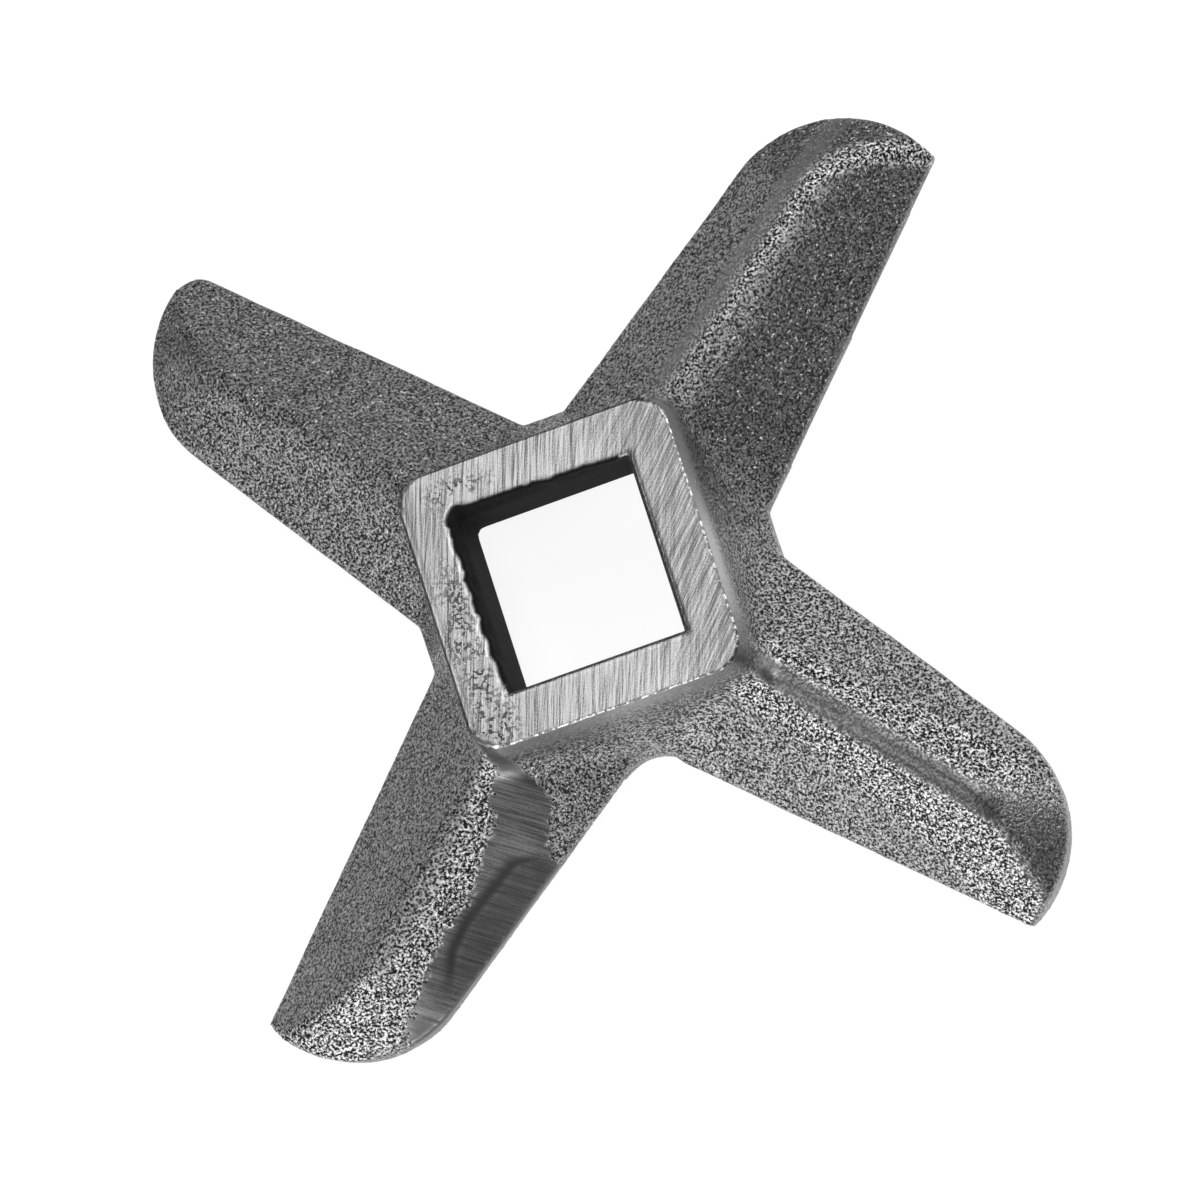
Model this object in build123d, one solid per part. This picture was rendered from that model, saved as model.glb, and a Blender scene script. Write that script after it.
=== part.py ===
import os
from math import cos, radians, sin, sqrt, tan
from build123d import *

# Knife of a meat grinder: one steel casting with four blades around a square hub.
# Z is the axis of the square hole. Z = 0 is the plane the cutting edges run in,
# on the grinder's plate, and the ground face of the hub looks along +Z.

# hub
hub_height = 12.0
hub_side = 19.5
hub_corner_radius = 2.0
hub_draft = 5.0
flare_radius = 10.0
foot_side = 25.6
foot_height = 2.0

# square hole and the hollow around it on the underside
hole_side = 12.7
hole_corner_radius = 0.5
hollow_diameter = 18.8
hollow_depth = 4.5
ring_diameter = 28.4

# blades
blade_count = 4
first_blade_angle = 46.1
cutting_edge_offset = 8.23
tip_reach = 36.9
back_edge_offset = 9.46
back_edge_angle = 11.5
end_radius = 8.8
cutting_edge_height = 1.5
back_edge_height = 2.8
front_face_slope = 40.0
back_face_slope = 34.0
ridge_radius = 1.7
blend_radius = 2.5

# underside of the blades
land_width = 5.5
relief_angle = 10.0

# shallow hollow ground into the back face of one blade
ground_blade = 2
grinding_diameter = 40.0
grinding_width = 16.0
grinding_crown = 120.0
grinding_reach = 24.0
grinding_side = 3.0
grinding_bite = 0.18

# helper lengths
half_hub = hub_side / 2
half_foot = foot_side / 2
reach = 2 * tip_reach       # longer than anything on the knife
overcut = 1.0               # how far a cutting shape runs past what it cuts
touching = 0.01             # shapes nearer than this meet


def flared_block():
    # one pair of hub flanks: drafted from the ground face, then hollowed out to the foot
    across = sin(radians(hub_draft))
    down = cos(radians(hub_draft))
    side = half_foot - half_hub
    drop = hub_height - foot_height
    along = side * across + drop * down
    away = side * down - drop * across
    straight = along - sqrt(away * (2 * flare_radius - away))
    start_x = half_hub + straight * across
    start_z = hub_height - straight * down
    with BuildPart() as block:
        with BuildSketch(Plane.XZ):
            with BuildLine():
                Line((0, hub_height), (half_hub, hub_height))
                Line((half_hub, hub_height), (start_x, start_z))
                TangentArc((start_x, start_z), (half_foot, foot_height), tangent=(across, -down))
                Line((half_foot, foot_height), (half_foot, 0))
                Line((half_foot, 0), (0, 0))
                Line((0, 0), (0, hub_height))
            make_face()
            mirror(about=Plane.YZ)
        extrude(amount=half_foot, both=True)
    return block.part


def hub_body():
    # two pairs of flanks crossed, with the four upright corners rounded
    block = flared_block()
    body = block & (Rot(0, 0, 90) * block)
    corners = [e for e in body.edges() if is_hub_corner(e)]
    body = fillet(corners, hub_corner_radius)
    return body & Cylinder(ring_diameter / 2, reach)


def is_hub_corner(edge):
    # an edge that rises over the foot on a diagonal of the hub
    middle = edge.center()
    on_diagonal = abs(abs(middle.X) - abs(middle.Y)) < touching
    return on_diagonal and middle.Z > foot_height


def end_centre():
    # centre of the round end: touches the back edge and passes through the tip
    angle = radians(back_edge_angle)
    inward = back_edge_offset - end_radius
    tip_across = tip_reach * sin(angle) - cutting_edge_offset * cos(angle)
    tip_along = tip_reach * cos(angle) + cutting_edge_offset * sin(angle)
    along = tip_along - sqrt(end_radius ** 2 - (inward - tip_across) ** 2)
    return inward, along


def blade_outline():
    # plan of one blade, pointing along +X with its cutting edge on the -Y side
    angle = radians(back_edge_angle)
    inward, along = end_centre()
    out = Vector(sin(angle), cos(angle))
    run = Vector(cos(angle), -sin(angle))
    middle = out * inward + run * along
    touch = middle + out * end_radius
    tip = Vector(tip_reach, -cutting_edge_offset)
    between = ((touch - middle).normalized() + (tip - middle).normalized()).normalized()
    root = Vector(0, back_edge_offset / cos(angle))
    with BuildSketch() as plan:
        with BuildLine():
            Line((0, -cutting_edge_offset), tip)
            ThreePointArc(tip, middle + between * end_radius, touch)
            Line(touch, root)
            Line(root, (0, -cutting_edge_offset))
        make_face()
    return plan.sketch


def blade_body():
    # plan pulled up, roofed by the front face and by the back face with its round end
    body = extrude(blade_outline(), reach)
    blade = body & front_roof() & (Rot(0, 0, -back_edge_angle) * back_roof())
    crest = [e for e in blade.edges() if is_crest(e)]
    blade = fillet(crest, ridge_radius)
    return blade - relief()


def front_roof():
    # everything under the face that climbs from the cutting edge to the ridge
    edge = -cutting_edge_offset
    rise = reach * tan(radians(front_face_slope))
    with BuildPart() as roof:
        with BuildSketch(Plane.YZ):
            Polygon((edge - overcut, -overcut), (edge + reach, -overcut),
                    (edge + reach, cutting_edge_height + rise), (edge, cutting_edge_height),
                    (edge - overcut, cutting_edge_height), align=None)
        extrude(amount=reach)
    return roof.part


def back_roof():
    # everything under the face that climbs from the back edge, ended by a cone of its slope
    edge = back_edge_offset
    fall = tan(radians(back_face_slope))
    inward, along = end_centre()
    with BuildPart() as roof:
        with BuildSketch(Plane.YZ.offset(-reach)):
            Polygon((edge + overcut, -overcut), (edge + overcut, back_edge_height),
                    (edge, back_edge_height), (edge - reach, back_edge_height + reach * fall),
                    (edge - reach, -overcut), align=None)
        extrude(amount=reach + along)
        with Locations((along, inward, back_edge_height)):
            Cone(end_radius, 0, end_radius * fall, rotation=(0, 0, 180),
                 align=(Align.CENTER, Align.CENTER, Align.MIN))
            Cylinder(end_radius, back_edge_height + overcut, rotation=(0, 0, 180),
                     align=(Align.CENTER, Align.CENTER, Align.MAX))
    return roof.part


def is_crest(edge):
    # the ridge line and its bend down to the tip, the only edges lying across both faces
    middle = edge.center()
    above_edges = middle.Z > back_edge_height + touching
    clear_of_root = middle.X > touching
    along_blade = abs((edge @ 1).X - (edge @ 0).X) > end_radius / 2
    return above_edges and clear_of_root and along_blade


def relief():
    # wedge of clearance between the ground land and the back edge
    start = land_width - cutting_edge_offset
    depth = reach * tan(radians(relief_angle))
    with BuildPart() as wedge:
        with BuildSketch(Plane.YZ):
            Polygon((start, 0), (start + reach, depth), (start + reach, -overcut),
                    (start, -overcut), align=None)
        extrude(amount=reach)
    return wedge.part


def grinding_wheel():
    # crowned wheel lying along the blade, its rim sunk into the back face
    radius = grinding_diameter / 2
    half = grinding_width / 2
    shoulder = radius - grinding_crown + sqrt(grinding_crown ** 2 - half ** 2)
    with BuildPart() as wheel:
        with BuildSketch():
            with BuildLine():
                Line((-half, 0), (-half, shoulder))
                ThreePointArc((-half, shoulder), (0, radius), (half, shoulder))
                Line((half, shoulder), (half, 0))
                Line((half, 0), (-half, 0))
            make_face()
        revolve(axis=Axis.X)
    tilt = radians(back_face_slope)
    turn = radians(back_edge_angle)
    inside = back_edge_offset / cos(turn) - grinding_reach * tan(turn) - grinding_side
    height = back_edge_height + inside * cos(turn) * tan(tilt)
    normal = Vector(sin(turn) * sin(tilt), cos(turn) * sin(tilt), cos(tilt))
    contact = Plane((grinding_reach, grinding_side, height), x_dir=(1, 0, 0), z_dir=normal)
    return contact * Pos(0, 0, radius - grinding_bite) * wheel.part


def is_junction(edge, hub, blades):
    # an edge on the skin of the hub and of a blade, above the edges of the blades
    middle = Vertex(edge @ 0.5)
    on_hub = hub.shell().distance_to(middle) < touching
    on_blade = min(blade.shell().distance_to(middle) for blade in blades) < touching
    return on_hub and on_blade and middle.Z > back_edge_height


def knife():
    hub = hub_body()
    blade = blade_body()
    pitch = 360 / blade_count
    turns = [Rot(0, 0, first_blade_angle - pitch * number) for number in range(blade_count)]
    blades = [turn * blade for turn in turns]
    body = hub + blades
    junction = [e for e in body.edges() if is_junction(e, hub, blades)]
    body = fillet(junction, blend_radius)
    body = body - turns[ground_blade] * grinding_wheel()
    hollow = Cylinder(hollow_diameter / 2, hollow_depth,
                      align=(Align.CENTER, Align.CENTER, Align.MIN))
    opening = extrude(RectangleRounded(hole_side, hole_side, hole_corner_radius), hub_height)
    return body - hollow - opening


os.makedirs("parts", exist_ok=True)
export_step(knife(), "parts/grinder_knife.step")
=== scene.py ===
# Looks of a meat grinder's knife: one steel casting, ground on the hub face, lands and cutting edges
import math
import bpy
import bmesh
import numpy as np
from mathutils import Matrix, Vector


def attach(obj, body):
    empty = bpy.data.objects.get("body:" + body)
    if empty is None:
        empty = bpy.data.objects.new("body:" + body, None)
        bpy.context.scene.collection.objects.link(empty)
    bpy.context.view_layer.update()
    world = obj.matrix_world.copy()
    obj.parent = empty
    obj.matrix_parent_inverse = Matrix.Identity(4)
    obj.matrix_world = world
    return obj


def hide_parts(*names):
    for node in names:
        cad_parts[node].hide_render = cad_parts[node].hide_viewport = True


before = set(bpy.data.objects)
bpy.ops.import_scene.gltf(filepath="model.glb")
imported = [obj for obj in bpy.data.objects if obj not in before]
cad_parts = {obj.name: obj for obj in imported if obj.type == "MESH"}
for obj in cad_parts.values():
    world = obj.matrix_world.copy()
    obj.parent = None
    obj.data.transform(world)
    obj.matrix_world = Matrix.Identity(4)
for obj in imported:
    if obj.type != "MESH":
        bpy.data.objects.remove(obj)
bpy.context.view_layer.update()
mm = 0.001
tiny = 1e-9                 # keeps a division whole where a length is nothing

# in the dictionaries, lengths are millimetres and angles degrees, and a pair is where an S-curve starts
# and where it ends, unless a note says otherwise; a pair named Line is w at the axis and its change with u
plan = {
    "hubTop": 12.0,
    "hubHalf": 9.75,
    "hubRound": 2.0,
    "holeHalf": 6.35,
    "hollowRadius": 9.4,
    "hollowTop": 4.5,
    "blades": 4,
    "pitch": 90.0,
    "firstBlade": 46.1,             # bearing of blade 0; blades 1, 2 and 3 follow clockwise
    "edgeOffset": 8.23,
    "tipReach": 36.9,
}


def smooth(low, high, x):
    # 0 below low, 1 above high, and the S-curve 3t^2 - 2t^3 between them
    t = np.clip((x - low) / (high - low), 0.0, 1.0)
    return t * t * (3.0 - 2.0 * t)


def hump(middle, half, x):
    # 1 at the middle, falling to 0 at half a width on either side
    return 1.0 - smooth(0.0, half, np.abs(x - middle))


skinNoise = {
    "scatter": (73856093, 19349663, 83492791, 2654435761),      # large numbers for x, y, z and the seed
    "stir": 1274126177,
    "fineShare": 0.6,               # strength of the finer size where two are added
}


def latticeValue(i, j, k, seed):
    # a number between -1 and 1 for each lattice corner, from its three whole coordinates and a seed
    a, b, c, d = skinNoise["scatter"]
    h = (i * a) ^ (j * b) ^ (k * c) ^ (seed * d)
    h = (h ^ (h >> 13)) * skinNoise["stir"] & 0xFFFFFFFF
    h = (h ^ (h >> 16)) & 0xFFFF        # a whole number up to 65535
    return h / (0xFFFF / 2) - 1.0


def softNoise(p, size, seed):
    # lattice values blended between corners with the fade 6t^5 - 15t^4 + 10t^3
    q = p / size
    base = np.floor(q).astype(np.int64)
    t = q - base
    f = t * t * t * (t * (t * 6.0 - 15.0) + 10.0)
    total = np.zeros(len(p))
    for a in (0, 1):
        for b in (0, 1):
            for c in (0, 1):
                weight = np.abs(1 - a - f[:, 0]) * np.abs(1 - b - f[:, 1]) * np.abs(1 - c - f[:, 2])
                total += weight * latticeValue(base[:, 0] + a, base[:, 1] + b, base[:, 2] + c, seed)
    return total


def tornNoise(p, sizes, seeds):
    # a coarse soft noise and a weaker fine one, added
    fine = softNoise(p, sizes[1], seeds[1])
    return softNoise(p, sizes[0], seeds[0]) + skinNoise["fineShare"] * fine


class BladeFrame:
    # each corner's nearest blade, its way out along that blade (u) and across to its back (w),
    # and how far its normal points outwards
    def __init__(self, p, n):
        angle = np.degrees(np.arctan2(p[:, 1], p[:, 0]))
        self.number = np.round((plan["firstBlade"] - angle) / plan["pitch"]).astype(int) % plan["blades"]
        turn = np.radians(plan["firstBlade"] - plan["pitch"] * self.number)
        self.c, self.s = np.cos(turn), np.sin(turn)
        self.u = self.c * p[:, 0] + self.s * p[:, 1]
        self.w = self.c * p[:, 1] - self.s * p[:, 0]
        self.outward = self.c * n[:, 0] + self.s * n[:, 1]

    def shift(self, alongStep, acrossStep):
        # steps along and across the blade, turned forwards into x and y
        x = self.c * alongStep - self.s * acrossStep
        y = self.s * alongStep + self.c * acrossStep
        return np.stack([x, y, np.zeros(len(x))], axis=1)


casting = {                 # the fine mesh and the unevenness of the cast skin
    "grid": 0.262,
    "merge": 0.0001,
    "waveSize": 3.1,
    "wave": 0.035,
    "waveSeed": 1,
    "lumpSize": 1.1,
    "lump": 0.02,
    "lumpSeed": 2,
    "lumpCalm": 0.7,                # share of the lumps that the smooth stretches lose
    "topSide": (-0.3, 0.1),         # upright part of the normal from which the marks show
}


def finerCopy(node):
    # copies the node's mesh, merges its corners and covers it again with even small faces
    mesh = node.data.copy()
    work = bmesh.new()
    work.from_mesh(mesh)
    bmesh.ops.remove_doubles(work, verts=work.verts, dist=casting["merge"] * mm)
    work.to_mesh(mesh)
    work.free()
    mesh.materials.clear()
    coarse = bpy.data.objects.new("coarse", mesh)
    bpy.context.scene.collection.objects.link(coarse)
    remesh = coarse.modifiers.new("evenFaces", "REMESH")
    remesh.mode = "VOXEL"
    remesh.voxel_size = casting["grid"] * mm
    remesh.use_smooth_shade = True
    graph = bpy.context.evaluated_depsgraph_get()
    fine = bpy.data.meshes.new_from_object(coarse.evaluated_get(graph))
    bpy.data.objects.remove(coarse)
    return fine


def readPoints(mesh):
    # corner positions in millimetres and their unit normals
    count = len(mesh.vertices)
    p = np.empty(count * 3, np.float32)
    mesh.vertices.foreach_get("co", p)
    n = np.empty(count * 3, np.float32)
    mesh.vertex_normals.foreach_get("vector", n)
    return p.reshape(-1, 3).astype(float) / mm, n.reshape(-1, 3).astype(float)


def addAttribute(mesh, name, values):
    # one number for each corner of the mesh
    layer = mesh.attributes.new(name, "FLOAT", "POINT")
    layer.data.foreach_set("value", values.astype(np.float32))


ground = {                  # the hub face and its rim, the walls of the hole, and the lands
    "rimReach": 0.55,               # of the grid: corners this near the rim move onto it
    "faceHeight": (-0.25, -0.05),   # from the hub's top
    "level": (0.6, 0.9),            # upright part of the normal
    "wallNear": 0.15,               # corners this near the hole's outline are its walls
    "wallLevel": (0.8, 0.97),
    "sharpBand": 0.5,               # beside the two walls whose top edge stays sharp
    "sharpExtra": 0.4,
    "landHeight": (0.03, 0.12),
    "frontNear": (0.1, 0.25),
    "frontHeight": (0.25, 0.6),
    "brightHalf": 0.2,              # the painted highlight along two sides of the rim
    "brightHeight": (-0.4, -0.1),
    "brightFrom": (8.5, 9.5),
}


def squareOutline(p, half, radius):
    # signed distance to a square with rounded corners, and the direction in which it grows
    q = np.abs(p[:, :2]) - (half - radius)
    outer = np.maximum(q, 0.0)
    length = np.hypot(outer[:, 0], outer[:, 1])
    inner = np.minimum(np.maximum(q[:, 0], q[:, 1]), 0.0)
    flat = np.where(q[:, :1] > q[:, 1:], (1.0, 0.0), (0.0, 1.0))
    away = np.where(length[:, None] > tiny, outer / np.maximum(length, tiny)[:, None], flat)
    return length + inner - radius, away * np.sign(p[:, :2])


def crispRim(p):
    # moves the corners nearest to the hub face's outer rim right onto it
    near = ground["rimReach"] * casting["grid"]
    distance, away = squareOutline(p, plan["hubHalf"], plan["hubRound"])
    beside = (np.abs(distance) < near) & (plan["hubTop"] - p[:, 2] < near)
    p[beside, :2] -= away[beside] * distance[beside, None]
    p[beside, 2] = plan["hubTop"]
    return beside


def groundFaces(p, n, blade):
    # the hub face, the walls of the hole, and the lands with the low strips in front of their edges
    face = smooth(*ground["faceHeight"], p[:, 2] - plan["hubTop"]) * smooth(*ground["level"], n[:, 2])
    inHole = np.maximum(np.abs(p[:, 0]), np.abs(p[:, 1])) < plan["holeHalf"] + ground["wallNear"]
    inner = plan["holeHalf"] - ground["sharpBand"]
    sharp = (p[:, 0] > inner) | (p[:, 1] < -inner)
    level = np.abs(n[:, 2]) + ground["sharpExtra"] * sharp
    hole = np.where(inHole, 1.0 - smooth(*ground["wallLevel"], level), 0.0)
    land = (1.0 - smooth(*ground["landHeight"], p[:, 2])) * smooth(*ground["level"], -n[:, 2])
    front = 1.0 - smooth(*ground["frontNear"], blade.w + plan["edgeOffset"])
    strip = front * (1.0 - smooth(*ground["frontHeight"], p[:, 2]))
    return face, hole, np.maximum(land, strip)


def paintedRimHighlight(p):
    # painted highlight: the thin line where the hub face ends, on its +X and -Y sides
    edge = plan["hubHalf"] - np.maximum(np.abs(p[:, 0]), np.abs(p[:, 1]))
    high = smooth(*ground["brightHeight"], p[:, 2] - plan["hubTop"])
    sides = np.maximum(smooth(*ground["brightFrom"], p[:, 0]), smooth(*ground["brightFrom"], -p[:, 1]))
    return hump(0.0, ground["brightHalf"], edge) * high * sides


wheelMark = {               # the stretch that a wheel smoothed on one blade's back, in pairs of u and w
    "blade": 2,
    "ridgeSide": ((12.0, -1.2), (13.2, -1.0), (14.0, 0.0), (15.9, 0.6), (17.0, 1.2), (21.2, 1.8),
                  (23.2, 1.9), (26.0, 1.1), (30.3, 1.05), (33.8, 1.5)),
    "backSide": ((12.0, 0.4), (13.0, 0.9), (13.5, 2.2), (13.8, 3.4), (14.6, 4.3), (17.4, 4.6),
                 (18.2, 5.4), (18.6, 9.5)),
    "ragged": 0.3,
    "raggedSizes": (1.7, 0.6),
    "raggedSeeds": (21, 22),
    "sideSoft": 0.6,
    "ends": (12.2, 33.8),
    "endSoft": 0.3,
    "dip": 0.01,
    # painted shade in the smoothed stretch: along the groove, behind it, at both ends and on the steep
    # border
    "groove": ((18.3, 4.7), (19.4, 3.3), (21.8, 2.7), (24.3, 2.1), (26.6, 2.0), (28.8, 2.6)),
    "grooveHalf": 0.8,
    "grooveStart": (-0.4, 0.6),     # along the blade from the groove's first point
    "grooveEnd": (-1.5, 2.0),       # and from its last
    "behindShade": 0.6,             # the ground behind the groove, with the width that it darkens over
    "behindWidth": 0.7,
    "hubEnd": (13.5, 1.2),          # middle and half length of the dark end at the hub
    "tipEnd": (30.5, 33.0),
    "tipShade": 0.9,
    "steep": (0.6, 0.78),           # upright part of the normal at the dark steep border
}


def wheelPatch(p, blade):
    # 1 between the two borders, whose lines are made ragged by noise
    torn = wheelMark["ragged"] * tornNoise(p, wheelMark["raggedSizes"], wheelMark["raggedSeeds"])
    near = np.interp(blade.u, *np.transpose(wheelMark["ridgeSide"]))
    far = np.interp(blade.u, *np.transpose(wheelMark["backSide"]))
    soft = wheelMark["sideSoft"]
    across = smooth(-soft, soft, blade.w - near - torn)
    across = across * (1.0 - smooth(-soft, soft, blade.w - far + torn))
    start, end = wheelMark["ends"]
    fade = wheelMark["endSoft"]
    along = smooth(start, start + fade, blade.u) * (1.0 - smooth(end - fade, end, blade.u))
    return across * along * (blade.number == wheelMark["blade"])


def wheelShade(n, blade):
    # painted shade: the curve along which the wheel cut deepest, less so behind it, then both ends of the
    # smoothed stretch and its steep border
    along, across = np.transpose(wheelMark["groove"])
    beside = blade.w - np.interp(blade.u, along, across)
    behind = wheelMark["behindShade"] * smooth(0.0, wheelMark["behindWidth"], beside)
    groove = np.maximum(hump(0.0, wheelMark["grooveHalf"], beside), behind)
    groove = groove * smooth(*wheelMark["grooveStart"], blade.u - along[0])
    groove = groove * (1.0 - smooth(*wheelMark["grooveEnd"], blade.u - along[-1]))
    ends = np.maximum(hump(*wheelMark["hubEnd"], blade.u),
                      wheelMark["tipShade"] * smooth(*wheelMark["tipEnd"], blade.u))
    steep = 1.0 - smooth(*wheelMark["steep"], n[:, 2])
    return np.maximum(np.maximum(groove, ends), steep)


holeRim = {                 # chips broken off the top edges of the hole, and its corners
    "backChip": (0.42, -0.12),      # mean setback of the +Y edge at its -X and +X ends
    "sideChip": (0.34, 0.02),       # and of the -X edge at its +Y and -Y ends
    "ragged": 0.16,
    "raggedSizes": (0.85, 0.4),
    "backSeeds": (31, 36),
    "sideSeeds": (32, 37),
    "downSlow": 0.3,                # how fast the noise changes down the wall, against along it
    "inside": (-0.35, -0.05),       # from the wall, where the drag starts
    "spread": 2.0,
    "alongEnd": (-0.3, 0.7),
    "depth": 2.4,
    "cornerRound": 0.6,
    "cornerFade": (0.15, 1.4),
}


def chippedRim(p):
    # drags the wall's top and the face beside it outwards by a ragged amount that fades with distance
    half = plan["holeHalf"]
    down = 1.0 - smooth(0.0, holeRim["depth"], plan["hubTop"] - p[:, 2])
    shift = np.zeros_like(p)
    for axis, outward, other, course, name in ((1, 1.0, 0, 1.0, "back"), (0, -1.0, 1, -1.0, "side")):
        first, last = holeRim[name + "Chip"]
        seeds = holeRim[name + "Seeds"]
        away = outward * p[:, axis] - half
        t = np.clip(0.5 + 0.5 * course * p[:, other] / half, 0.0, 1.0)
        level = np.full(len(p), float(seeds[0]))
        track = np.stack([p[:, other], holeRim["downSlow"] * p[:, 2], level], axis=1)
        torn = tornNoise(track, holeRim["raggedSizes"], seeds)
        amount = first + (last - first) * t + holeRim["ragged"] * torn
        near = smooth(*holeRim["inside"], away) * (1.0 - smooth(0.0, holeRim["spread"], away))
        within = 1.0 - smooth(*holeRim["alongEnd"], np.abs(p[:, other]) - half)
        shift[:, axis] += outward * amount * near * within * down
    return shift


def squareCorners(p):
    # draws three of the hole's rounded corners out square, fading with distance from the wall
    inner = plan["holeHalf"] - holeRim["cornerRound"]
    q = np.maximum(np.abs(p[:, :2]) - inner, 0.0)
    length = np.hypot(q[:, 0], q[:, 1])
    longest = np.maximum(q.max(axis=1), tiny)
    near = 1.0 - smooth(*holeRim["cornerFade"], length - holeRim["cornerRound"])
    chippedCorner = (p[:, 0] < 0.0) * (p[:, 1] > 0.0)
    near = near * (q.min(axis=1) > 0.0) * (1.0 - chippedCorner)
    step = q * ((length / longest - 1.0) * near)[:, None] * np.sign(p[:, :2])
    return np.stack([step[:, 0], step[:, 1], np.zeros(len(p))], axis=1)


hollowMouth = {             # draft of the round hollow under the hub
    "draft": 13.0,
    "inside": (-0.3, -0.1),
    "outside": (0.1, 3.2),
    "topFade": (-0.1, 0.0),
}


def hollowFlare(p):
    # opens the hollow towards its mouth: each corner moves out by its depth times the draft's slope
    r = np.hypot(p[:, 0], p[:, 1])
    depth = np.clip(plan["hollowTop"] - p[:, 2], 0.0, plan["hollowTop"])
    beyond = r - plan["hollowRadius"]
    near = smooth(*hollowMouth["inside"], beyond) * (1.0 - smooth(*hollowMouth["outside"], beyond))
    low = 1.0 - smooth(*hollowMouth["topFade"], p[:, 2] - plan["hollowTop"])
    step = depth * math.tan(math.radians(hollowMouth["draft"])) * near * low / np.maximum(r, tiny)
    return np.stack([p[:, 0] * step, p[:, 1] * step, np.zeros(len(p))], axis=1)


bladeEnds = {               # how single blades differ in reach
    "from": 31.0,                   # along the blade, where it starts to give
    "shortBlade": 3,
    "shortBy": 0.42,
    "longBlade": 1,
    "longBy": 0.2,
    "tipRound": 0.9,
    "tipPull": 0.4,
    "tipFrom": 25.0,
}


def unevenEnds(blade):
    # one blade stops short with a rounded tip and one runs a little long
    out = smooth(bladeEnds["from"], plan["tipReach"], blade.u)
    isShort = blade.number == bladeEnds["shortBlade"]
    longer = (blade.number == bladeEnds["longBlade"]) * bladeEnds["longBy"]
    diagonal = math.sqrt(0.5)
    toTip = (plan["tipReach"] - blade.u + blade.w + plan["edgeOffset"]) * diagonal
    cut = np.clip(bladeEnds["tipRound"] - toTip, 0.0, None) ** 2 / bladeEnds["tipRound"]
    pull = bladeEnds["tipPull"] * cut * isShort * (blade.u > bladeEnds["tipFrom"]) * diagonal
    return blade.shift(out * (longer - isShort * bladeEnds["shortBy"]) - pull, pull)


deepWeb = {                 # the web whose outline is drawn in
    "bearing": -91.5,
    "halfAngle": 9.5,
    "depth": 0.75,
    "radius": (10.8, 13.2),
    "height": (3.0, 6.0),
}


def deeperWeb(p):
    # draws the outline between two blades in along an arc
    r = np.hypot(p[:, 0], p[:, 1])
    turn = np.degrees(np.arctan2(p[:, 1], p[:, 0])) - deepWeb["bearing"]
    t = np.clip(turn / deepWeb["halfAngle"], -1.0, 1.0)
    near = smooth(*deepWeb["radius"], r) * (1.0 - smooth(*deepWeb["height"], p[:, 2]))
    pull = deepWeb["depth"] * (1.0 - t * t) * near / r
    return np.stack([-p[:, 0] * pull, -p[:, 1] * pull, np.zeros(len(p))], axis=1)


gasPits = {                 # round holes in one blade's back, each at its u and w
    "blade": 1,
    "places": ((19.5, 1.44), (24.44, -0.06), (18.51, -3.83), (12.36, -5.04)),
    "radius": 0.32,
    "depth": 0.12,
}


def smallPits(blade):
    # a hump of the pit's radius at each place
    total = np.zeros(len(blade.u))
    for u, w in gasPits["places"]:
        total += hump(0.0, gasPits["radius"], np.hypot(blade.u - u, blade.w - w))
    return total * (blade.number == gasPits["blade"])


calmParts = {               # where the cast grain is pressed smooth, and the painted shade on one crest and its end
    "hub": 0.85,                    # how smooth it is below the edge of the hub face
    "hubHeight": (8.0, 10.8),
    "crestBlade": 1,
    "crestLine": (1.53, -0.1145),
    "crestWidth": (0.7, 1.15),
    "crestFrom": (12.5, 14.5),
    "crestTo": (32.0, 34.5),
    "crestShade": 0.8,              # least painted shade of the band, full towards the blade's back
    "crestBack": (-0.5, 0.3),
    "shadeFrom": (14.1, 15.3),
    "end": 0.65,                    # how smooth the end of that blade is
    "endOutward": (0.15, 0.35),
    "endAcross": (-0.9, 0.5),
    "endFrom": 28.0,
    "endShade": 0.8,
    "backBlade": 0,
    "back": 0.6,                    # how smooth the strip behind this blade's crest is
    "backLine": (2.9, -0.12),
    "backWidth": (0.4, 1.1),
    "backFrom": (13.0, 16.0),
    "paleX": (8.4, 9.3),            # the place under one edge of the hub where light is painted
    "paleY": (-8.0, -5.0),
    "paleZ": (7.0, 9.0),
}


def besideLine(blade, line):
    # how far across the blade a corner lies from a straight line that drifts as it runs out
    return blade.w - line[0] - line[1] * blade.u


def calmSkin(p, blade, face, hole):
    # the smooth stretches below the hub's edge, along one crest and over its end, and behind another
    # crest; with them, the painted shade on the one crest and its end
    top = calmParts["hub"] * smooth(*calmParts["hubHeight"], p[:, 2]) * (1.0 - face) * (1.0 - hole)
    onCrested = blade.number == calmParts["crestBlade"]
    fromCrest = besideLine(blade, calmParts["crestLine"])
    crest = (1.0 - smooth(*calmParts["crestWidth"], np.abs(fromCrest))) * onCrested
    crest = crest * smooth(*calmParts["crestFrom"], blade.u)
    crest = crest * (1.0 - smooth(*calmParts["crestTo"], blade.u))
    end = calmParts["end"] * onCrested * (blade.u > calmParts["endFrom"])
    end = end * smooth(*calmParts["endOutward"], blade.outward)
    end = end * (1.0 - smooth(*calmParts["endAcross"], blade.w))
    back = 1.0 - smooth(*calmParts["backWidth"], np.abs(besideLine(blade, calmParts["backLine"])))
    back = calmParts["back"] * back * smooth(*calmParts["backFrom"], blade.u)
    back = back * (blade.number == calmParts["backBlade"])
    calm = np.maximum(np.maximum(top, crest), np.maximum(end, back))
    least = calmParts["crestShade"]
    shade = least + (1.0 - least) * smooth(*calmParts["crestBack"], fromCrest)
    dark = crest * shade * smooth(*calmParts["shadeFrom"], blade.u)
    return np.clip(calm, 0.0, 1.0), np.maximum(dark, calmParts["endShade"] * end)


def paintedFlankLight(p):
    # painted light: under one edge of the hub the smooth skin is drawn paler
    flankLight = smooth(*calmParts["paleX"], p[:, 0]) * smooth(*calmParts["paleZ"], p[:, 2])
    return flankLight * smooth(*calmParts["paleY"], p[:, 1])


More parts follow.
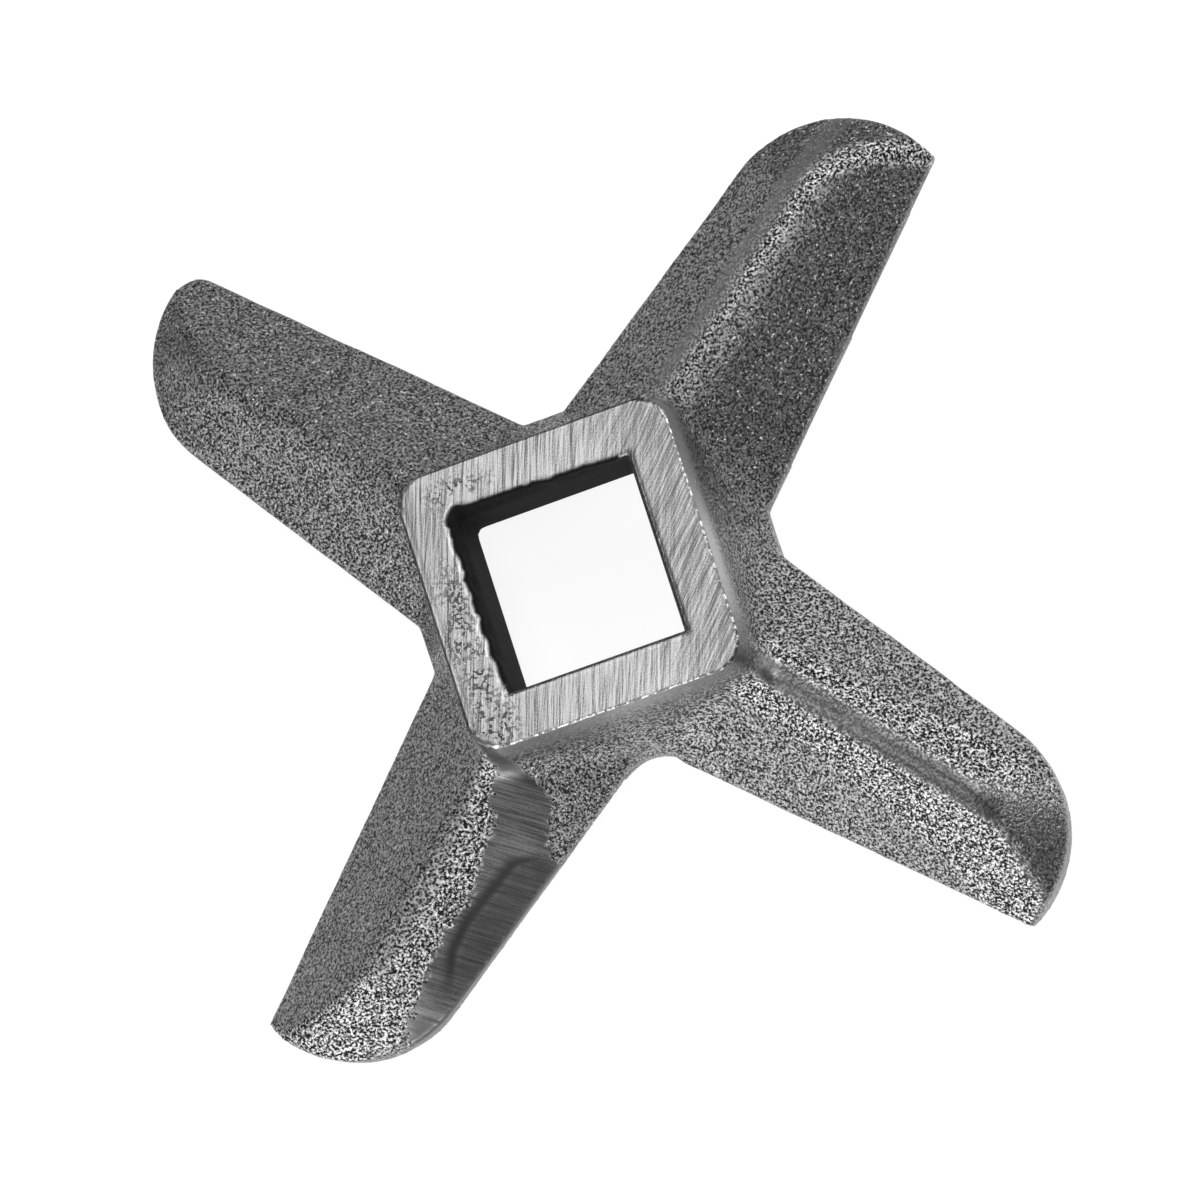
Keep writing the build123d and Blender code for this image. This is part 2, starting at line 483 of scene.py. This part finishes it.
highlightBands = {                    # painted highlight: bands along the ridges and over some faces where the grain is drawn bright and stark, and one blade's end
    "paths": (                      # blade, strength, half width at the hub and at the end, u and w
        (0, 0.9, 0.85, 1.1,
         ((14.0, 0.3), (24.0, -0.8), (30.5, -1.8), (32.7, -2.5), (34.7, -4.2), (36.9, -8.0))),
        (1, 1.0, 0.9, 2.6, ((13.2, 1.3), (20.0, 0.6), (26.0, 0.6), (31.5, 0.3))),
        (1, 1.0, 1.5, 3.4, ((13.0, -1.6), (20.0, -2.4), (26.0, -3.4), (31.0, -4.4), (35.5, -6.8))),
        (1, 0.25, 5.0, 5.0, ((13.0, -5.0), (34.0, -5.0))),
        (1, 0.3, 5.0, 5.0, ((13.0, 4.0), (33.0, 2.0))),
        (2, 0.85, 1.1, 1.8, ((13.6, -0.4), (17.0, 0.4), (23.8, 0.6), (28.8, 0.1), (33.7, 0.0))),
        (3, 0.3, 5.0, 5.0, ((13.0, 4.0), (33.0, 2.0))),
    ),
    "between": (13.0, 34.0),        # where the half widths hold
    "fade": (0.45, 1.0),            # of the half width
    "endBlade": 2,
    "end": 0.9,
    "endFrom": 27.0,
    "endOutward": (0.1, 0.3),
    "endAcross": (-1.2, 0.2),
}


def nearPath(u, w, path):
    # distance to the nearest of the straight pieces that join a path's points
    nearest = np.full(len(u), np.inf)
    for (u0, w0), (u1, w1) in zip(path[:-1], path[1:]):
        du, dw = u1 - u0, w1 - w0
        t = np.clip(((u - u0) * du + (w - w0) * dw) / (du * du + dw * dw), 0.0, 1.0)
        nearest = np.minimum(nearest, np.hypot(u - u0 - t * du, w - w0 - t * dw))
    return nearest


def paintedHighlight(blade):
    # painted highlight: the strongest of the bands at each corner, each fading across its half width, and
    # the end
    total = np.zeros(len(blade.u))
    for number, strength, first, last, path in highlightBands["paths"]:
        half = np.interp(blade.u, highlightBands["between"], (first, last))
        band = 1.0 - smooth(*highlightBands["fade"], nearPath(blade.u, blade.w, path) / half)
        total = np.maximum(total, band * strength * (blade.number == number))
    end = smooth(*highlightBands["endOutward"], blade.outward) * (1.0 - smooth(*highlightBands["endAcross"], blade.w))
    end = end * highlightBands["end"] * (blade.u > highlightBands["endFrom"]) * (blade.number == highlightBands["endBlade"])
    return np.maximum(total, end)


sideShade = {                    # painted shade: darker skin on blade 0 in front and at its end, and on the whole of blade 3
    "frontLine": (0.0, -0.09),
    "front": (-1.6, 0.0),
    "hub": 0.35,                    # what is left of it beside the hub
    "hubFade": (10.0, 15.0),
    "endOutward": (0.1, 0.3),
    "endFrom": 28.0,
    "lead": 0.55,
    "trail": 0.95,
    "ridgeLine": (0.0, -0.05),
    "ridgeHalf": 3.2,
    "ridge": 0.5,                   # what is left of it on the ridge
}


def paintedSideShade(blade):
    # 1 where the painted shade is strongest, less beside the hub and along the ridge
    front = 1.0 - smooth(*sideShade["front"], besideLine(blade, sideShade["frontLine"]))
    nearHub = sideShade["hub"] + (1.0 - sideShade["hub"]) * smooth(*sideShade["hubFade"], blade.u)
    end = smooth(*sideShade["endOutward"], blade.outward) * (blade.u > sideShade["endFrom"])
    whole = sideShade["lead"] + (sideShade["trail"] - sideShade["lead"]) * (1.0 - front)
    onRidge = hump(0.0, sideShade["ridgeHalf"], besideLine(blade, sideShade["ridgeLine"]))
    whole = whole * (1.0 - (1.0 - sideShade["ridge"]) * onRidge)
    return np.choose(blade.number, (np.maximum(front * nearHub, end), 0.0, 0.0, whole))


unclean = {                 # stretches of the hub face not ground clean, as middles and half widths
    "left": (-8.1, 1.9),
    "leftShare": 0.85,
    "leftEnd": (1.0, 5.0),
    "leftDrift": 0.4,
    "leftSeed": 41,
    "back": (8.1, 1.6),
    "backAlong": (-5.6, 3.6),
    "backDrift": 0.3,
    "backSeed": 42,
    "driftSize": 2.0,
    "cornerX": (-7.6, 2.2),
    "cornerY": (-8.0, 2.6),
}


def pittedFace(p):
    # humps across the -X side, the far end of the +Y side and the corner between -X and -Y
    leftDrift = unclean["leftDrift"] * softNoise(p, unclean["driftSize"], unclean["leftSeed"])
    backDrift = unclean["backDrift"] * softNoise(p, unclean["driftSize"], unclean["backSeed"])
    left = hump(*unclean["left"], p[:, 0] + leftDrift) * (1.0 - smooth(*unclean["leftEnd"], p[:, 1]))
    back = hump(*unclean["back"], p[:, 1] + backDrift) * hump(*unclean["backAlong"], p[:, 0])
    corner = hump(*unclean["cornerX"], p[:, 0]) * hump(*unclean["cornerY"], p[:, 1])
    return np.clip(np.maximum(np.maximum(unclean["leftShare"] * left, back), corner), 0.0, 1.0)


def knifeSurface(node):
    # the fine copy with this casting's marks, pushed along its normals by waves and lumps of the skin
    mesh = finerCopy(node)
    p, n = readPoints(mesh)
    onRim = crispRim(p)
    blade = BladeFrame(p, n)
    face, hole, land = groundFaces(p, n, blade)
    face[onRim] = 1.0
    top = smooth(*casting["topSide"], n[:, 2])
    patch = wheelPatch(p, blade) * top
    pits = smallPits(blade) * top
    calm, dark = calmSkin(p, blade, face, hole)
    skin = (1.0 - face) * (1.0 - hole) * (1.0 - land) * (1.0 - patch)
    masks = {
        "hubFace": face,
        "holeWall": hole,
        "groundLand": land,
        "wheelPatch": patch,
        "paintedPatchShade": wheelShade(n, blade) * patch,
        "calmSkin": calm * top,
        "paintedCrestShade": dark * top,
        "paintedSideShade": paintedSideShade(blade),
        "paintedFlankLight": paintedFlankLight(p),
        # painted highlight along the ridges and over one blade's end
        "paintedHighlight": paintedHighlight(blade) * top,
        "pitted": np.maximum(pittedFace(p) * face, pits * skin),
        "rimHighlight": paintedRimHighlight(p),
    }
    for name, values in masks.items():
        addAttribute(mesh, name, values)
    wave = casting["wave"] * softNoise(p, casting["waveSize"], casting["waveSeed"])
    lump = casting["lump"] * softNoise(p, casting["lumpSize"], casting["lumpSeed"])
    lump = lump * (1.0 - casting["lumpCalm"] * calm)
    push = (wave + lump) * skin - gasPits["depth"] * pits - wheelMark["dip"] * patch
    moved = p + n * push[:, None] + chippedRim(p) + squareCorners(p)
    moved += hollowFlare(p) + unevenEnds(blade) + deeperWeb(p)
    mesh.vertices.foreach_set("co", (moved * mm).astype(np.float32).ravel())
    mesh.update()
    knife = bpy.data.objects.new("knifeBody", mesh)
    bpy.context.scene.collection.objects.link(knife)
    return knife


class Flow:
    # a socket that can stand in a sum; every operator adds one Math node
    def __init__(self, sheet, socket):
        self.sheet = sheet
        self.socket = socket

    def __add__(self, other):
        return self.sheet.math("ADD", self, other)

    def __radd__(self, other):
        return self.sheet.math("ADD", other, self)

    def __sub__(self, other):
        return self.sheet.math("SUBTRACT", self, other)

    def __rsub__(self, other):
        return self.sheet.math("SUBTRACT", other, self)

    def __mul__(self, other):
        return self.sheet.math("MULTIPLY", self, other)

    def __rmul__(self, other):
        return self.sheet.math("MULTIPLY", other, self)


class Sheet:
    # one material's nodes
    def __init__(self, name):
        self.material = bpy.data.materials.new(name)
        self.material.use_nodes = True
        self.tree = self.material.node_tree
        self.tree.nodes.clear()

    def make(self, kind, settings, inputs, out=0):
        # adds a node, sets it up, then fills or links its sockets
        made = self.tree.nodes.new(kind)
        for name, value in settings.items():
            setattr(made, name, value)
        for name, value in inputs.items():
            socket = made.inputs[name]
            if isinstance(value, Flow):
                self.tree.links.new(value.socket, socket)
            else:
                socket.default_value = value
        return Flow(self, made.outputs[out]) if made.outputs else None

    def math(self, operation, a, b):
        # one Math node
        return self.make("ShaderNodeMath", {"operation": operation}, {0: a, 1: b})

    def larger(self, a, b):
        # the larger of two values
        return self.math("MAXIMUM", a, b)

    def blend(self, factor, a, b):
        # the Mix node's colour sockets are its inputs 6 and 7 and its output 2
        return self.make("ShaderNodeMix", {"data_type": "RGBA"}, {0: factor, 6: a, 7: b}, 2)

    def between(self, factor, a, b):
        # and its number sockets are inputs 2 and 3
        return self.make("ShaderNodeMix", {"data_type": "FLOAT"}, {0: factor, 2: a, 3: b})

    def span(self, value, low, high, start=0.0, end=1.0):
        # start below low, end above high, and an S-curve between them
        return self.make("ShaderNodeMapRange", {"interpolation_type": "SMOOTHSTEP"},
                         {0: value, 1: low, 2: high, 3: start, 4: end})

    def attribute(self, name):
        # the number that the mesh keeps at each corner
        return self.make("ShaderNodeAttribute", {"attribute_name": name}, {}, "Fac")

    def place(self):
        # the piece's own coordinates, in metres
        return self.make("ShaderNodeTexCoord", {}, {}, "Object")

    def stretch(self, vector, turn, scale):
        # turns the pattern about Z first and draws it out along the turned axes after
        turned = self.make("ShaderNodeMapping", {},
                           {"Vector": vector, "Rotation": (0.0, 0.0, math.radians(turn))})
        return self.make("ShaderNodeMapping", {}, {"Vector": turned, "Scale": scale})

    def part(self, vector, axis):
        # one of a vector's three numbers
        return self.make("ShaderNodeSeparateXYZ", {}, {0: vector}, axis)

    def rays(self, kind):
        # 1 for rays of one kind and 0 for all others
        return self.make("ShaderNodeLightPath", {}, {}, kind)

    def noise(self, vector, perMetre, detail=2.0, rough=0.5):
        # soft random values about one half
        return self.make("ShaderNodeTexNoise", {},
                         {"Vector": vector, "Scale": perMetre, "Detail": detail, "Roughness": rough})

    def cells(self, vector, perMetre, soft=0.3):
        # distance to the nearest of scattered points, with the ridges between them softened
        return self.make("ShaderNodeTexVoronoi", {"feature": "SMOOTH_F1"},
                         {"Vector": vector, "Scale": perMetre, "Smoothness": soft})


def grey(value):
    # a neutral colour given as it shows on screen, from 0 to 255, with the screen's curve undone
    v = value / 255.0
    linear = v / 12.92 if v <= 0.04045 else ((v + 0.055) / 1.055) ** 2.4
    return (linear, linear, linear, 1.0)


skinLook = {                # greys as they show on screen, scales in cells to the metre, depths in metres
    "dark": 46,
    "light": 168,
    # painted highlight: the grain's light and dark along the highlight bands
    "highlight": 248,
    "highlightDark": 28,
    # painted shade: the light grains where it lies
    "sideShade": 124,
    # painted glints: sparse bright points in the grain
    "glint": 205,
    "pit": 44,
    "calm": 148,
    # painted shade on the crest of blade 1 and its end
    "crest": 66,
    # painted light under one edge of the hub
    "flankLight": 205,
    "quiet": 0.85,                  # how far a smooth stretch covers the grain
    "grainScale": 5200.0,
    "grainSpan": (0.38, 0.62),      # noise values that turn from dark to light
    # painted highlight: how far the bands move the grain's turn from dark to light
    "highlightShift": (0.05, 0.04),
    "grainDepth": 0.00016,
    "pitScale": 3000.0,
    "pitSpan": (0.14, 0.34),
    "pitDepth": 0.00006,
    "driftScale": 350.0,            # where the pits show more and less
    "driftSpan": (0.2, 0.7, 0.35, 0.95),
    # painted glints: their size and how many show
    "glintScale": 4600.0,
    "glintSpan": (0.64, 0.71),
}


def castGrain(s, here, calm, highlight):
    # sand-cast skin: light grains and dark pits with painted glints, drawn starker and brighter where a
    # highlight is painted, and quieter where it is calm
    grain = s.noise(here, skinLook["grainScale"], 2.0, 0.6)
    pits = 1.0 - s.span(s.cells(here, skinLook["pitScale"]), *skinLook["pitSpan"])
    drift = s.span(s.noise(here, skinLook["driftScale"]), *skinLook["driftSpan"])
    # painted shade darkens the light grains
    light = s.blend(s.attribute("paintedSideShade"), grey(skinLook["light"]), grey(skinLook["sideShade"]))
    # painted highlight: lighter lights and deeper darks along the bands
    light = s.blend(highlight, light, grey(skinLook["highlight"]))
    dark = s.blend(highlight, grey(skinLook["dark"]), grey(skinLook["highlightDark"]))
    low, high = skinLook["grainSpan"]
    lowShift, highShift = skinLook["highlightShift"]
    tone = s.blend(s.span(grain, low + highlight * lowShift, high + highlight * highShift), dark, light)
    tone = s.blend(pits * drift, tone, grey(skinLook["pit"]))
    # painted glints: sparse bright points laid over the grain
    glint = s.span(s.noise(here, skinLook["glintScale"], 1.0), *skinLook["glintSpan"])
    tone = s.blend(glint, tone, grey(skinLook["glint"]))
    # painted shade on the smooth crest and its end
    smoothTone = s.blend(s.attribute("paintedCrestShade"), grey(skinLook["calm"]), grey(skinLook["crest"]))
    # painted light under one edge of the hub
    smoothTone = s.blend(s.attribute("paintedFlankLight"), smoothTone, grey(skinLook["flankLight"]))
    quiet = calm * skinLook["quiet"]
    height = (grain * skinLook["grainDepth"] - pits * skinLook["pitDepth"]) * (1.0 - quiet)
    return s.blend(quiet, tone, smoothTone), height


groundLook = {              # greys as they show on screen, scales in cells to the metre, depths in metres
    "faceDark": 92,
    "faceLight": 192,
    "facePit": 40,
    # painted highlight along two sides of the hub face's rim
    "rimLight": 215,
    "rimDark": 92,
    "patchDark": 122,
    "patchLight": 190,
    # painted shade in the smoothed stretch's groove
    "groove": 96,
    # painted shade on the walls of the hole
    "holeShadeDark": 36,
    "holeShadeLight": 62,
    "uprightTurn": 18.0,            # the hub face's two directions of scratches
    "leaningTurn": 41.0,
    "leaningFrom": (0.001, 0.012),  # in metres along X, where one gives way to the other
    "patchTurn": 124.0,
    "broadScale": 6800.0,
    "broadStretch": 0.022,
    "broadShare": 0.45,
    "fineScale": 12500.0,
    "fineStretch": 0.03,
    "fineTurn": 4.0,
    "fineShare": 0.35,
    "evenScale": 9000.0,
    "evenShare": 0.2,
    "faceSpan": (0.34, 0.59),       # scratch values that turn from dark to light
    # painted shade: the +X part of the hub face, scratched the other way, drawn darker
    "leaningShade": (0.08, 0.12),
    "patchSpan": (0.38, 0.62),
    "scratchDepth": 0.000012,
    "pitScale": 3600.0,
    "pitSpan": (0.51, 0.57),
    "pitDepth": 0.00003,
    "clusterScale": 800.0,          # where the hub face's pits gather
    "clusterSpan": (0.35, 0.47),
    "rimScale": 3200.0,
    "rimSpan": (0.48, 0.56),
    "holeScale": 3000.0,
    "borderScale": 2200.0,          # the ragged border of the smoothed stretch
    "borderRagged": 2.0,
    "borderSpan": (0.44, 0.56),
    "skinRough": 0.38,
    "groundRough": 0.35,
    "holeRough": 0.95,
}


def groundMarks(s, here, turn):
    # grinding scratches: noise drawn out along one direction, a broad and a fine set, and even noise
    broadDraw = groundLook["broadStretch"]
    fineDraw = groundLook["fineStretch"]
    broadWay = s.stretch(here, turn, (1.0, broadDraw, broadDraw))
    fineWay = s.stretch(here, turn + groundLook["fineTurn"], (1.0, fineDraw, fineDraw))
    broad = s.noise(broadWay, groundLook["broadScale"], 2.0, 0.6)
    fine = s.noise(fineWay, groundLook["fineScale"], 1.0)
    even = s.noise(here, groundLook["evenScale"], 1.0)
    marks = broad * groundLook["broadShare"] + fine * groundLook["fineShare"]
    return marks + even * groundLook["evenShare"]


def raggedPatch(s, here):
    # the smoothed stretch's mask with noise added and cut off steeply, so that its border is torn
    ragged = groundLook["borderRagged"]
    patch = s.attribute("wheelPatch") + s.noise(here, groundLook["borderScale"], 3.0, 0.6) * ragged
    return s.span(patch - 0.5 * ragged, *groundLook["borderSpan"])


def facePits(s, here, pitted):
    # small pits that gather in clusters where the hub face isn't clean
    pits = s.span(s.noise(here, groundLook["pitScale"], 1.0), *groundLook["pitSpan"])
    cluster = s.span(s.noise(here, groundLook["clusterScale"], 1.0), *groundLook["clusterSpan"])
    return pits * cluster * pitted


def knifeSteel():
    # cast skin, ground faces, the smoothed stretch and the hole's walls in painted shade, each laid over
    # the last
    s = Sheet("castSteel")
    here = s.place()
    hole = s.attribute("holeWall")
    flat = s.larger(s.attribute("hubFace"), s.attribute("groundLand"))
    patch = raggedPatch(s, here)
    pitted = s.attribute("pitted")
    castTone, castHeight = castGrain(s, here, s.attribute("calmSkin"), s.attribute("paintedHighlight"))
    clean = s.larger(flat, patch)
    skin = 1.0 - s.larger(clean, hole)

    leaning = s.span(s.part(here, 0), *groundLook["leaningFrom"])
    upright = groundMarks(s, here, groundLook["uprightTurn"]) * (1.0 - leaning)
    faceMarks = upright + groundMarks(s, here, groundLook["leaningTurn"]) * leaning
    patchMarks = groundMarks(s, here, groundLook["patchTurn"])
    pits = facePits(s, here, pitted)

    low, high = groundLook["faceSpan"]
    # painted shade on the +X part of the hub face
    lowShift, highShift = groundLook["leaningShade"]
    light = s.span(faceMarks, low + leaning * lowShift, high + leaning * highShift)
    faceTone = s.blend(light, grey(groundLook["faceDark"]), grey(groundLook["faceLight"]))
    faceTone = s.blend(pits, faceTone, grey(groundLook["facePit"]))
    rimLight = s.span(s.noise(here, groundLook["rimScale"]), *groundLook["rimSpan"])
    rimTone = s.blend(rimLight, grey(groundLook["rimDark"]), grey(groundLook["rimLight"]))
    # painted highlight on the rim's +X and -Y sides
    faceTone = s.blend(s.attribute("rimHighlight"), faceTone, rimTone)

    patchLight = s.span(patchMarks, *groundLook["patchSpan"])
    patchTone = s.blend(patchLight, grey(groundLook["patchDark"]), grey(groundLook["patchLight"]))
    # painted shade in the groove, at both ends and on the steep border
    patchTone = s.blend(s.attribute("paintedPatchShade"), patchTone, grey(groundLook["groove"]))
    # painted shade: the hole's walls drawn dark
    holeShadeLight = s.noise(here, groundLook["holeScale"])
    holeShade = s.blend(holeShadeLight, grey(groundLook["holeShadeDark"]), grey(groundLook["holeShadeLight"]))

    colour = s.blend(flat, castTone, faceTone)
    colour = s.blend(patch, colour, patchTone)
    colour = s.blend(hole, colour, holeShade)
    colour = s.blend(pitted * skin, colour, grey(skinLook["pit"]))

    rough = s.between(clean, groundLook["skinRough"], groundLook["groundRough"])
    rough = s.between(hole, rough, groundLook["holeRough"])
    scratches = (faceMarks * (1.0 - patch) + patchMarks * patch) * clean
    height = castHeight * skin + scratches * groundLook["scratchDepth"] - pits * groundLook["pitDepth"]
    bump = s.make("ShaderNodeBump", {}, {"Strength": 1.0, "Distance": 1.0, "Height": height})
    shader = s.make("ShaderNodeBsdfPrincipled", {},
                    {"Base Color": colour, "Metallic": 1.0, "Roughness": rough, "Normal": bump})
    s.make("ShaderNodeOutputMaterial", {"target": "ALL"}, {0: shader})
    return s.material


studio = {
    "turn": (0.1185, 0.2118, -0.3160),      # of the camera, in radians
    "distance": 416.16,
    "aside": (0.32, 0.42),
    "lens": 180.0,
    "sensor": 36.0,
    "nearest": 10.0,
    "lampDistance": 420.0,
    "lampSize": 160.0,
    "lamps": {                       # bearing and height above the floor, and watts
        "lampOverhead": (0.0, 88.0, 0.317),
        "lampRight": (30.0, 38.0, 0.798),
        "lampHighBack": (90.0, 62.0, 0.330),
        "lampLowBack": (120.0, 14.0, 0.048),
        "lampLowLeft": (210.0, 14.0, 0.197),
        "lampLowFront": (240.0, 14.0, 0.206),
        "lampFront": (240.0, 38.0, 0.628),
        "lampLowNear": (270.0, 14.0, 0.297),
    },
    "sky": 0.12,
    "floorHalf": 3000.0,
    "floorDrop": 0.02,
    "paper": 235,                    # the floor's own grey
    "shadePaper": 118,               # and the part of it that takes the shadow, under an even glow
    "glow": 0.90,
}


def studioCamera():
    # stands off along its own axis from the middle of the hub, a little aside of it
    lens = bpy.data.cameras.new("camera")
    lens.lens = studio["lens"]
    lens.sensor_width = studio["sensor"]
    lens.clip_start = studio["nearest"] * mm
    camera = bpy.data.objects.new("camera", lens)
    bpy.context.scene.collection.objects.link(camera)
    camera.rotation_euler = studio["turn"]
    bpy.context.view_layer.update()
    across, up = studio["aside"]
    offset = camera.matrix_world.to_3x3() @ Vector((-across, -up, studio["distance"]))
    camera.location = offset * mm
    bpy.context.scene.camera = camera


def studioLamp(name, bearing, height, power):
    # a square lamp on a dome round the knife, facing its middle
    data = bpy.data.lights.new(name, "AREA")
    data.size = studio["lampSize"] * mm
    data.energy = power
    lamp = bpy.data.objects.new(name, data)
    bpy.context.scene.collection.objects.link(lamp)
    a, h = math.radians(bearing), math.radians(height)
    spot = Vector((math.cos(a) * math.cos(h), math.sin(a) * math.cos(h), math.sin(h)))
    lamp.location = spot * studio["lampDistance"] * mm
    lamp.rotation_euler = (-spot).to_track_quat("-Z", "Y").to_euler()


def studioFloor():
    # a pale sheet under the knife: it shows white, also in the metal, and keeps the shadow
    half = studio["floorHalf"] * mm
    drop = studio["floorDrop"] * mm
    corners = [(-half, -half, -drop), (half, -half, -drop), (half, half, -drop), (-half, half, -drop)]
    mesh = bpy.data.meshes.new("floor")
    mesh.from_pydata(corners, [], [(0, 1, 2, 3)])
    floor = bpy.data.objects.new("floor", mesh)
    bpy.context.scene.collection.objects.link(floor)
    s = Sheet("paleFloor")
    seen = s.rays("Is Camera Ray") + s.rays("Is Glossy Ray") + s.rays("Is Transmission Ray")
    paper = s.make("ShaderNodeBsdfDiffuse", {}, {"Color": grey(studio["paper"])})
    shade = s.make("ShaderNodeBsdfDiffuse", {}, {"Color": grey(studio["shadePaper"])})
    glow = s.make("ShaderNodeEmission", {}, {"Color": grey(255), "Strength": studio["glow"]})
    white = s.make("ShaderNodeAddShader", {}, {0: shade, 1: glow})
    shown = s.make("ShaderNodeMixShader", {}, {0: seen, 1: paper, 2: white})
    s.make("ShaderNodeOutputMaterial", {"target": "ALL"}, {0: shown})
    mesh.materials.append(s.material)


def studioSky():
    # an even pale surround
    world = bpy.data.worlds.new("surround")
    bpy.context.scene.world = world
    world.use_nodes = True
    back = world.node_tree.nodes["Background"]
    back.inputs["Color"].default_value = grey(255)
    back.inputs["Strength"].default_value = studio["sky"]


knife = knifeSurface(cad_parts["grinder_knife"])
print("casting:", len(knife.data.polygons), "faces")
steel = knifeSteel()
knife.data.materials.append(steel)
print("steel:", len(steel.node_tree.nodes), "nodes")
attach(knife, "root")
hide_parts("grinder_knife")

studioCamera()
for lampName, (bearing, height, power) in studio["lamps"].items():
    studioLamp(lampName, bearing, height, power)
studioFloor()
studioSky()
bpy.context.scene.view_settings.view_transform = "Standard"
print("studio set")
